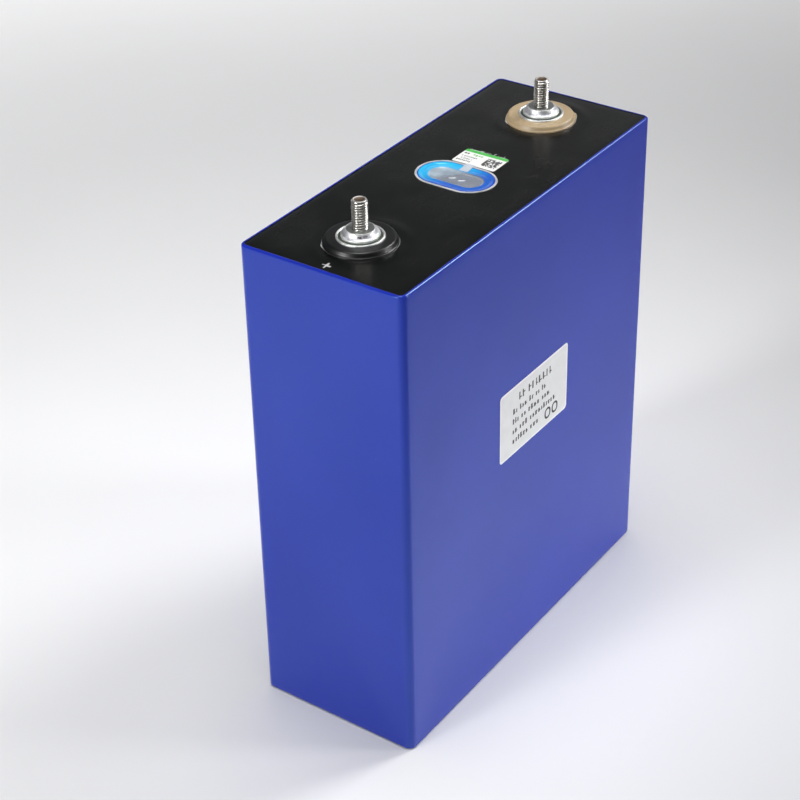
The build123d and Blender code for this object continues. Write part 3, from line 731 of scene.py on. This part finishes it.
def make_ring(polarity, material):
    """A moulded ring: from the bore over the rounded top down to a flange whose reach follows the ears."""
    cx = TERMINALS[polarity]
    profile = [(RING_BORE, LID)]
    profile += rises(RING_TOP, (RING_BORE, -0.12), (9.12, -0.03), (9.3, 0))
    profile += rises(RING_TOP, (10.2, -0.02), (11.2, -0.02), (11.8, -0.01))
    profile += arc((12.14, RING_TOP - 1.15), 1.15, 86, 12, 12)
    profile += rises(LID, (13.36, 1.3), (13.48, 1.05), (13.62, 0.82))
    flange = len(profile)
    profile += rises(LID, (RING - 0.16, 0.76), (RING - 0.05, 0.68), (RING, 0.52), (RING, 0.1))
    profile += [(RING - 0.06, LID)]

    def shape(x, y, z, r, k, normal):
        if k >= flange:
            r += ring_reach(math.atan2(normal[1], normal[0]), RING_TIPS[polarity]) - RING
        return cx + r * normal[0], r * normal[1], z

    sweep(f"{polarity}_ring_moulded", circle_path(cx, 240), profile, [material],
          [f"{polarity}_insulator"], shape, 38.0, closed=True)


def make_pole(polarity):
    cx = TERMINALS[polarity]
    seed = 1.0 if polarity == "positive" else 2.0
    profile = [(0.0, POLE_FOOT), (8.97, POLE_FOOT), (9.0, POLE_FOOT + 0.1)]
    profile += arc((8.62, POLE_TOP - 0.38), 0.38, 0, 90, 7)
    profile += rises(POLE_TOP, (8.42, -0.02), (8.22, -0.14), (8.12, -0.34), (8.0, -0.42), (7.8, -0.40),
                     (7.0, -0.36), (0.0, -0.36))

    def shape(x, y, z, r, k, normal):
        if r > 7.4 and z > POLE_TOP - 0.5:
            z += 0.025 * soft(x, y, z, 1.6, seed)
        return x, y, z

    # the recess inside r 8.1 takes the dark colour, a painted shade
    def pick(centre):
        return 1 if math.hypot(centre.x - cx, centre.y) < 8.1 else 0

    sweep(f"{polarity}_pole_turned", circle_path(cx, 160), profile, [terminal_alloy, recess_shade_alloy],
          [f"{polarity}_pole"], shape, 45.0, pick)


def make_stud_base(polarity):
    """The stepped boss: a flange on the pole, the weld's ripples up its flank and turned grooves on top."""
    cx = TERMINALS[polarity]
    seed = 3.0 if polarity == "positive" else 4.0
    rough_weld = 1.5 if polarity == "positive" else 0.45
    flange_top = BOSS_TOP - 1.95
    profile = rises(POLE_TOP, (0.0, -0.35), (7.0, -0.35), (7.16, -0.25), (7.2, -0.05))
    profile += rises(flange_top, (7.2, -0.3))
    profile += arc((6.96, flange_top - 0.24), 0.24, 0, 84, 5)
    profile += rises(flange_top, (6.85, 0.01), (6.7, 0.05), (6.5, 0.14), (6.3, 0.28), (6.12, 0.48),
                     (5.96, 0.75), (5.8, 1.05), (5.66, 1.32), (5.56, 1.5), (5.5, 1.6))
    profile += arc((5.26, BOSS_TOP - 0.24), 0.24, 0, 90, 5)
    groove = 5.05
    while groove > 3.5:
        profile += rises(BOSS_TOP, (groove, -0.005), (groove - 0.12, -0.045),
                         (groove - 0.24, -0.045), (groove - 0.36, -0.005))
        groove -= 0.48
    profile += rises(BOSS_TOP, (3.35, -0.02), (3.12, -0.2), (2.9, -0.3), (0.0, -0.3))

    def shape(x, y, z, r, k, normal):
        if 5.6 < r < 7.21 and z > POLE_TOP + 0.2:
            angle = math.atan2(y, x - cx)
            drift = soft(x, y, z, 2.0, seed)
            ripple = 0.05 * drift + 0.012 * math.sin(angle * 52 + 2 * drift)
            z += ripple * rough_weld * min(1.0, (r - 5.6) / 0.4)
            off = (angle - WELD_ANGLE + math.pi) % TAU - math.pi
            if polarity == "positive" and abs(off) < 0.3:
                # a pit burnt in by the first weld pulse, with its crater wall
                pit = math.exp(-((off * r / 0.75) ** 2 + ((r - 6.1) / 0.2) ** 2))
                wall = math.exp(-((off * r / 1.1) ** 2 + ((r - 6.6) / 0.25) ** 2))
                z += 0.16 * wall - 0.30 * pit
        if r > 6.9 and z < flange_top:
            wave = 0.05 * soft(x, y, 0, 1.3, seed + 3)
            x += normal[0] * wave
            y += normal[1] * wave
        return x, y, z

    def pick(centre):
        r = math.hypot(centre.x - cx, centre.y)
        if r < 5.1 and centre.z > BOSS_TOP - 0.5:
            return 1
        return 2 if 5.6 < r < 6.9 else 0

    looks = [terminal_alloy, boss_alloy, weld_alloy]
    sweep(f"{polarity}_stud_base_welded", circle_path(cx, 224), profile, looks,
          [f"{polarity}_stud_base"], shape, 60.0, pick)


def make_stud(polarity):
    """M6 x 1 stud with a true helical thread: the radius follows the place along the helix."""
    cx = TERMINALS[polarity]
    turn = 0.4 if polarity == "positive" else 2.1
    major, pitch = 3.0, 1.0
    depth = 0.6134 * 1.12  # the standard depth of the thread, and a little more for the tool's sharp root
    root = major - depth
    chamfer = STUD_TOP - 0.62
    per_pitch = 14
    heights = [STUD_FOOT + i / per_pitch for i in range(int((STUD_TOP - 0.12 - STUD_FOOT) * per_pitch) + 1)]
    profile = [(0.0, STUD_FOOT)] + [(major, z) for z in heights]
    profile += rises(STUD_TOP, (2.56, -0.06), (2.5, -0.01), (2.42, 0), (2.1, -0.01), (2.0, -0.06),
                     (1.78, -0.28), (1.55, -0.38), (0.0, -0.43))

    def shape(x, y, z, r, k, normal):
        if r < major or z > STUD_TOP - 0.1:
            return x, y, z
        angle = math.atan2(normal[1], normal[0]) + turn
        phase = ((z - STUD_FOOT) / pitch - angle / TAU) % 1.0
        ridge = max(0.0, min(1.0, (0.5 - abs(phase - 0.5) - 0.09) / (0.5 - 0.09 - 0.07)))
        radius = root + depth * ridge * ridge * (3 - 2 * ridge)
        if z > chamfer:
            radius = min(radius, 2.94 - (z - chamfer) * 0.6)
        radius += 0.012 * soft(x, y, z, 0.7, 6.0)
        return cx + normal[0] * radius, normal[1] * radius, z

    def pick(centre):
        r = math.hypot(centre.x - cx, centre.y)
        if centre.z < STUD_TOP - 0.5 or r > 2.6:
            return 0
        return 1 if r < 2.02 else 2

    sweep(f"{polarity}_stud_threaded", circle_path(cx, 80), profile, [stud_steel, stud_dish, stud_rim],
          [f"{polarity}_stud"], shape, 55.0, pick)


make_ring("positive", black_plastic)
make_ring("negative", beige_plastic)
for polarity in TERMINALS:
    make_pole(polarity)
    make_stud_base(polarity)
    make_stud(polarity)

# -------- vent

FILM_FOOT = levels("vent_film")[0].z
HALF_STRAIGHT = 6.3
DISC_SIZE = (24.4, 13.4)
SCORE_RADIUS = 3.95
# the film is creased along an arc, about DENT_TURN degrees, of a circle at each side of the middle
DENT_X, DENT_Y, DENT_RADIUS = 0.6, 2.1, 2.1
DENT_TURN = 216
DENT_ANGLE = math.radians(DENT_TURN)


def vent_film_material():
    """Blue film with a clear window: the dye is deepest at the edge; the paler cyan and the milky window
    towards +X+Y are painted highlight.
    """
    s = Shade("vent_blue", IOR=1.75)
    r = s.radius((0, 0), half_straight=HALF_STRAIGHT)
    x, y, _ = s.axes()
    # painted highlight: the blue pales to cyan towards the lit far side
    lit_side_axis = s.plus(s.times(x, 0.85 / MM), s.times(y, 1 / MM))
    cloud = s.fit(s.noise(4, 3, 0.5), 0.3, 0.7)
    painted_highlight = s.times(s.fit(lit_side_axis, -6.0, 11.0, smooth=True), s.fit(cloud, 0, 1, 0.75, 1.0))
    blue = s.mix(painted_highlight, (0.028, 0.14, 0.62), (0.035, 0.56, 0.93))
    blue = s.mix(s.fit(r, 8.85, 9.3, smooth=True), blue, (0.006, 0.05, 0.46))
    window = s.fit(r, 5.1, 5.6, 1.0, 0.0, smooth=True)
    clear = s.mix(s.fit(s.noise(6, 2), 0.35, 0.7), (0.30, 0.36, 0.46), (0.44, 0.46, 0.50))
    # painted highlight: the window turns milky and less clear towards the lit far side
    painted_window_sheen = s.times(s.fit(painted_highlight, 0.35, 0.8, smooth=True), s.fit(s.noise(5, 2, 0.4), 0.25, 0.7, 0.5, 1.0))
    clear = s.mix(painted_window_sheen, clear, (0.56, 0.70, 0.80))
    crease_glints = []
    for side in (-1, 1):
        # the film is pressed against the scored disc; the white line along each crease is a painted glint
        centre = (DENT_X, side * DENT_Y)
        off = s.math("ABSOLUTE", s.math("SUBTRACT", s.radius(centre), DENT_RADIUS))
        ahead = s.plus(s.times(s.math("SUBTRACT", x, centre[0] * MM), math.cos(DENT_ANGLE) / MM),
                       s.times(s.math("SUBTRACT", y, centre[1] * MM), math.sin(DENT_ANGLE) / MM))
        line = s.fit(off, 0.16, 0.36, 1.0, 0.0, smooth=True)
        crease_glints.append(s.times(line, s.fit(ahead, 1.45, 1.8, smooth=True)))
    crease_glint = s.math("MAXIMUM", *crease_glints)
    s.set("Base Color", s.mix(crease_glint, s.mix(window, blue, clear), (0.93, 0.94, 0.95)))
    see_through = s.plus(s.fit(window, 0, 1, 0.97, 0.36), s.times(s.times(window, painted_window_sheen), 0.35))
    s.set("Alpha", s.math("MAXIMUM", see_through, crease_glint))
    s.set("Roughness", s.fit(s.noise(1.2, 4, 0.6), 0.3, 0.7, 0.08, 0.16))
    s.set("Normal", s.bump(s.noise(3.0, 3, 0.5), 0.05, 0.5))
    return s.mat


vent_blue = vent_film_material()
film_profile = rises(FILM_FOOT, *((0.25 * step, 0.13 - 0.0015 * step) for step in range(17)))
# the ridge round the window, the shallow dip beyond it and the raised rim
film_profile += rises(FILM_FOOT, (4.45, 0.085), (4.7, 0.10), (4.95, 0.20), (5.2, 0.35), (5.45, 0.48),
                      (5.65, 0.54), (5.9, 0.56), (6.3, 0.52), (6.8, 0.45), (7.2, 0.41), (7.5, 0.42),
                      (7.75, 0.50), (8.0, 0.63), (8.25, 0.75), (8.5, 0.82), (8.8, 0.85), (9.1, 0.86),
                      (9.4, 0.85), (9.55, 0.74))
film_profile += rises(FILM_FOOT, (9.2, 0.66), (8.6, 0.55), (7.4, 0.16), (5.5, 0.08), (5.0, 0.0), (0.0, 0.0))


def film_ripple(x, y, z, r, k, normal):
    if 0.0 < r < 9.3:
        z += 0.07 * soft(x, y, 0, 3.6, 11.0) * min(1.0, r / 3.0, (9.4 - r) / 0.8)
    if z > FILM_FOOT + 0.07 and r < 4.4:
        for side in (-1, 1):
            across, along = x - DENT_X, y - side * DENT_Y
            off = (math.atan2(along, across) - DENT_ANGLE + math.pi) % TAU - math.pi
            d = math.hypot(across, along) - DENT_RADIUS
            z += 0.34 * math.exp(-((d / 0.42) ** 2 + (off / 0.66) ** 4))
    return x, y, z


sweep("vent_film_domed", slot_path(HALF_STRAIGHT, 40, 60), film_profile, [vent_blue],
      ["vent_film"], film_ripple, 60.0)

disc_low, disc_high = levels("vent_disc")


def score_depth(x, y):
    """Two scored arcs back to back in the vent disc, from 0 beside them to 1 at their bottom."""
    for side in (-1, 1):
        off = abs(math.hypot(x, y - side * SCORE_RADIUS) - SCORE_RADIUS)
        if off < 0.5 and abs(y) < 5.0:
            return max(0.0, 1 - off / 0.32)
    return 0.0


def disc_top(x, y):
    dome = math.exp(-((x / 4.0) ** 2 + (y / 7.0) ** 2))
    return disc_high.z - 0.2 * score_depth(x, y) + 0.06 * dome


def score_glint_loop(side):
    """Outline of a painted glint along one scored arc, on its side towards the front corner."""
    centre = (DENT_X, side * DENT_Y)
    start, end = DENT_TURN - 42, DENT_TURN + 42
    return arc(centre, 2.3, start, end, 16) + arc(centre, 1.95, end, start, 16)


# the two near-white marks along the scored arcs are painted glints
sheet("vent_disc_scored", slot_loop(*DISC_SIZE, 30), [], [(score_glint_loop(-1), 1), (score_glint_loop(1), 1)], 0.34,
      lambda x, y: disc_low.z, disc_top, [disc_alloy, score_glint_alloy], ["vent_disc"])

tab_low, tab_high = levels("vent_film_tab")
tab_plastic = clear_sheet("tab_plastic", (0.66, 0.72, 0.80), 0.88, 0.25)


def tab_level(x):
    """Underside of the tab: it lies on the film, climbs over the vent's rim and ends on the label."""
    return FILM_FOOT + 0.56 + 0.36 * max(0.0, min(1.0, (x - 7.4) / 1.4))


tab_outline = rounded_rectangle(tab_low.x - 0.7, tab_low.y, tab_high.x + 1.6, tab_high.y, 0.35, 4)
sheet("vent_film_pull_tab", tab_outline, [], [], 0.5,
      lambda x, y: tab_level(x), lambda x, y: tab_level(x) + 0.09, [tab_plastic], ["vent_film_tab"])

# -------- labels

label_silver = paper("label_silver", (0.76, 0.765, 0.77), 0.36, 0.12)
label_white = paper("label_white", (0.90, 0.90, 0.88), 0.42)
label_ink = paper("label_ink", (0.012, 0.012, 0.013), 0.38)
label_grey_ink = paper("label_grey_ink", (0.07, 0.075, 0.075), 0.42)
label_green = paper("label_green", (0.075, 0.52, 0.085), 0.40)
label_leaf = paper("label_leaf", (0.20, 0.50, 0.13), 0.42)

SILVER, INK, GREEN, LEAF, GREY_INK = range(1, 6)


def word_marks(rng, x, y, width, height, number, weight=0.55, heights=(0.7, 0.7, 0.78, 1.0)):
    """A line of text suggested by upright strokes of uneven height: no letters."""
    marks = []
    end = x + width
    while x < end - height * 0.3:
        stroke = height * rng.uniform(0.42, 0.8)
        if x + stroke > end:
            break
        tall = rng.choice(heights)
        marks.append((box_mark(x, y, x + stroke * weight, y + height * tall), number))
        if rng.random() < 0.6:
            low = y + rng.choice((0.18, 0.5)) * height
            bar = box_mark(x + stroke * weight + 0.01, low, x + stroke * 0.92, low + height * 0.16)
            marks.append((bar, number))
        x += stroke + height * 0.16
        if rng.random() < 0.16:
            x += height * 0.5
    return marks


rating_low, rating_high = levels("rating_label")
rng = random.Random(11)
rx0, rz0, rx1, rz1 = rating_low.x, rating_low.z, rating_high.x, rating_high.z
rating_marks = [(rounded_rectangle(rx0 + 0.75, rz0 + 0.75, rx1 - 0.75, rz1 - 0.75, 1.1, 5), SILVER)]
rating_marks += word_marks(rng, rx0 + 13.7, rz1 - 7.8, 24.7, 3.4, INK, 0.42, (1.0,))
for line, (start, width) in enumerate(((9.4, 24.7), (9.2, 29.0), (9.2, 32.5), (9.2, 21.0))):
    rating_marks += word_marks(rng, rx0 + start, rz1 - 12.6 - 4.5 * line, width, 2.5, INK, 0.62)
for cx in (rx1 - 14.6, rx1 - 9.2):
    for half_x, half_z, radius, number in ((2.3, 2.6, 2.2, INK), (1.35, 1.7, 1.3, SILVER)):
        cz = rz0 + 5.3
        oval = rounded_rectangle(cx - half_x, cz - half_z, cx + half_x, cz + half_z, radius, 6)
        rating_marks.append((oval, number))


def rating_lift(x, z):
    """The label's edges stand off the film a little."""
    edge = min(x - rx0, rx1 - x, z - rz0, rz1 - z)
    return 0.012 * (1 + soft(x, z, 0, 8.0, 13.0)) * max(0.0, 1 - edge / 3.0)


sheet("rating_label_printed", rounded_rectangle(rx0, rz0, rx1, rz1, 1.6, 6), [], rating_marks, 1.6,
      lambda x, z: 0.0, lambda x, z: 0.055 + rating_lift(x, z), [label_white, label_silver, label_ink],
      ["rating_label"], lambda x, z, out: (x, -(HALF_Y + out), z))

trace_low, trace_high = levels("trace_label")
NEARER = 0.9
tx0, ty0, tx1, ty1 = trace_low.x - NEARER, trace_low.y, trace_high.x - NEARER, trace_high.y
trace_marks = [(box_mark(tx1 - 1.9, ty0 + 0.02, tx1 - 0.03, ty1 - 0.02), GREEN)]
for line in ((1.0, 2.9, 3.8, 1.5, INK, 0.85), (5.0, 2.9, 5.2, 1.3, LEAF, 0.8),
             (1.2, 5.4, 7.4, 1.0, GREY_INK, 0.75), (1.9, 7.2, 5.2, 0.9, GREY_INK, 0.75),
             (1.0, 8.9, 6.6, 1.1, INK, 0.8)):
    # drawn along +X, then turned to run towards -Y, as the label is read from the -X side
    for loop, number in word_marks(rng, *line):
        trace_marks.append(([(tx1 - v, ty1 - u) for u, v in reversed(loop)], number))
SQUARE, MARGIN = 0.58, 0.01
for i in range(11):
    for j in range(11):
        if rng.random() < 0.64:
            x0, y0 = tx0 + 1.9 + i * SQUARE, -8.9 + j * SQUARE
            square = box_mark(x0 + MARGIN, y0 + MARGIN, x0 + SQUARE - MARGIN, y0 + SQUARE - MARGIN)
            trace_marks.append((square, INK))


def trace_level(x, y):
    """The label lies a little loose: its far edge stands off the film in a shallow wave."""
    far = max(0.0, (x - tx0 - 4.0) / (tx1 - tx0 - 4.0))
    wave = 0.28 * far ** 2 * (0.6 + 0.4 * math.sin((y - ty0) * 0.55))
    return LID + 0.32 + wave + 0.04 * (1 + soft(x, y, 0, 6.0, 15.0))


trace_looks = [label_white, label_silver, label_ink, label_green, label_leaf, label_grey_ink]
sheet("trace_label_printed", rounded_rectangle(tx0, ty0, tx1, ty1, 0.8, 5), [], trace_marks, 0.9,
      trace_level, lambda x, y: trace_level(x, y) + 0.07, trace_looks, ["trace_label"])


def loose_fibres(stations=5):
    """Torn glue and paper fibres past the far edge of the small label: thin closed prisms on the film."""
    verts, faces = [], []
    for _ in range(26):
        x, y = tx1 + rng.uniform(-0.1, 0.7), rng.uniform(ty0 + 3.0, ty1 - 1.0)
        heading = rng.uniform(-0.5, 0.9)
        length, thick = rng.uniform(0.5, 1.9), rng.uniform(0.05, 0.10)
        start = len(verts)
        for i in range(stations):
            z = LID + 0.16 + 0.22 * math.sin(math.pi * i / (stations - 1)) * length / 2
            for corner in range(3):
                a = TAU * corner / 3 + math.pi / 2
                side, rise = thick * math.cos(a), thick * math.sin(a)
                verts.append((x - side * math.sin(heading), y + side * math.cos(heading), z + rise))
            x += length / (stations - 1) * math.cos(heading)
            y += length / (stations - 1) * math.sin(heading)
            heading += rng.uniform(-0.5, 0.5)
        for i in range(stations - 1):
            for corner in range(3):
                after = (corner + 1) % 3
                a, b = start + 3 * i, start + 3 * i + 3
                faces.append((a + corner, a + after, b + after, b + corner))
        last = start + 3 * (stations - 1)
        faces += [(start, start + 2, start + 1), (last, last + 1, last + 2)]
    mesh = bpy.data.meshes.new("trace_label_fibres")
    mesh.from_pydata([Vector(v) * MM for v in verts], [], faces)
    place_materials("trace_label_fibres", mesh, [label_fibre])


label_fibre = paper("label_fibre", (0.70, 0.71, 0.70), 0.6)
loose_fibres()

# -------- floor, light, camera


def make_floor(half=40):
    """A white sheet that glows faintly well away from the cell, so that it stays pale up to the horizon."""
    s = Shade("studio_floor", IOR=1.45)
    s.set("Base Color", s.mix(s.fit(s.noise(160, 2), 0.3, 0.7), (0.80, 0.80, 0.805), (0.82, 0.82, 0.825)))
    s.set("Roughness", s.fit(s.noise(60, 3), 0.3, 0.7, 0.7, 0.8))
    s.set("Emission Color", (1.0, 1.0, 1.005))
    s.set("Emission Strength", s.fit(s.radius((0, 0)), 430, 1150, 0.0, 0.55, smooth=True))
    mesh = bpy.data.meshes.new("studio_floor")
    mesh.from_pydata([(x, y, 0) for x, y in box_mark(-half, -half, half, half)], [], [(0, 1, 2, 3)])
    mesh.materials.append(s.mat)
    floor = bpy.data.objects.new("studio_floor", mesh)
    scene.collection.objects.link(floor)
    floor.location.z = -0.0002


def softbox(name, place, aim, size, strength, spread=180.0, turn=0.0):
    """Rectangular soft light; spread is the full angle its grid lets through, turn its roll, both in degrees.

    Inside its beam it lights a surface as a whole dome of radiance strength would."""
    data = bpy.data.lights.new(name, "AREA")
    data.shape = "RECTANGLE"
    data.size, data.size_y = size
    data.energy = strength * math.pi * size[0] * size[1]
    data.spread = math.radians(spread)
    lamp = bpy.data.objects.new(name, data)
    scene.collection.objects.link(lamp)
    lamp.visible_camera = False
    lamp.location = place
    way = (Vector(aim) - Vector(place)).to_track_quat("-Z", "Y")
    lamp.rotation_euler = (way.to_matrix() @ Matrix.Rotation(math.radians(turn), 3, "Z")).to_euler()


make_floor()
softbox("overhead", (-0.05, 0.64, 1.3), (-0.05, 0.64, 0), (2.2, 1.5), 0.72, 44, 26)
softbox("key_right", (1.15, -0.53, 1.25), (-0.05, 0.02, 0.14), (0.55, 0.7), 0.75, 33)
softbox("fill_left", (-1.38, 0.42, 0.58), (0, 0, 0.20), (0.40, 0.6), 0.95, 30)
softbox("fill_front", (0.78, -1.27, 0.32), (-0.01, 0, 0.03), (0.45, 0.3), 0.82, 22)
softbox("far_strip", (1.65, 0.95, 0.64), (0, 0, 0.2), (1.4, 0.6), 0.52)

world = bpy.data.worlds.new("studio")
world.use_nodes = True
world.node_tree.nodes["Background"].inputs["Color"].default_value = (0.045, 0.047, 0.05, 1)
scene.world = world
scene.view_settings.view_transform = "Standard"
scene.view_settings.look = "None"

EYE = Vector((-0.56486, -0.37488, 0.54413))
AIM = Vector((-0.01295, 0.01819, 0.13761))
ROLL = math.asin(math.sin(math.radians(-1.043)) / math.cos(math.radians(30.962)))
back = (EYE - AIM).normalized()
level = Vector((0, 0, 1)).cross(back).normalized()
upright = back.cross(level)
right = level * math.cos(ROLL) + upright * math.sin(ROLL)
up = back.cross(right)
camera_data = bpy.data.cameras.new("camera")
camera_data.lens = 90.0
camera_data.sensor_width = 36.0
camera_data.shift_y = -0.0875
camera_data.clip_start = 0.01
camera = bpy.data.objects.new("camera", camera_data)
scene.collection.objects.link(camera)
camera.matrix_world = Matrix((
    (right.x, up.x, back.x, EYE.x),
    (right.y, up.y, back.y, EYE.y),
    (right.z, up.z, back.z, EYE.z),
    (0, 0, 0, 1),
))
scene.camera = camera
